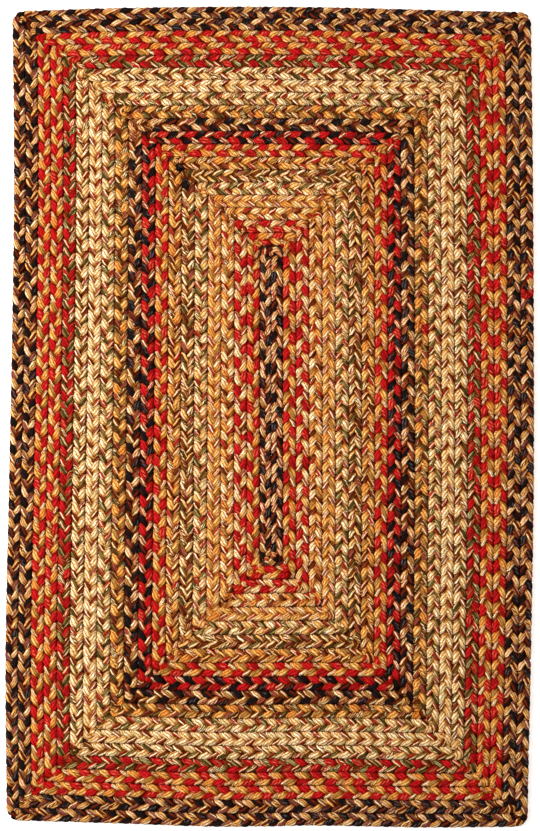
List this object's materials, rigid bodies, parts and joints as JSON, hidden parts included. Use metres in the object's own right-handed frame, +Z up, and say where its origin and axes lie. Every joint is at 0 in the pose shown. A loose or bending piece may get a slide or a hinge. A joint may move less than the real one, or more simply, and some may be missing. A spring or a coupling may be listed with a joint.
{
  "type": "braided rug",
  "caption": "Flat oblong rug of plaited yarn braids, laced edge to edge in square-cornered rings around a folded centre braid.",
  "frame": {"origin": "under the middle of the rug, on the surface that it lies on", "axes": "+Z up out of the top face, +Y along the long side, +X to the right seen from above"},
  "size_m": [0.7668, 1.1928, 0.0105],
  "materials": {
    "yarn_charcoal": "matt plaited yarn, charcoal with tan and maroon marl",
    "yarn_red": "matt plaited yarn, red with gold and cream",
    "yarn_olive": "matt plaited yarn, olive with red and cream marl",
    "yarn_cream": "matt plaited yarn, cream with olive and rust flecks",
    "yarn_gold": "matt plaited yarn, gold with tan tweed",
    "yarn_tan": "matt plaited yarn, tan, olive and rust tweed"
  },
  "bodies": {
    "root": {"braid_01": "yarn_charcoal", "braid_02": "yarn_charcoal", "braid_03": "yarn_red", "braid_04": "yarn_red", "braid_05": "yarn_olive", "braid_06": "yarn_cream", "braid_07": "yarn_cream", "braid_08": "yarn_cream", "braid_09": "yarn_gold", "braid_10": "yarn_charcoal", "braid_11": "yarn_red", "braid_12": "yarn_red", "braid_13": "yarn_gold", "braid_14": "yarn_tan", "braid_15": "yarn_olive", "braid_16": "yarn_cream", "braid_17": "yarn_gold", "braid_18": "yarn_red", "braid_19": "yarn_red", "braid_centre": "yarn_charcoal"}
  },
  "joints": []
}
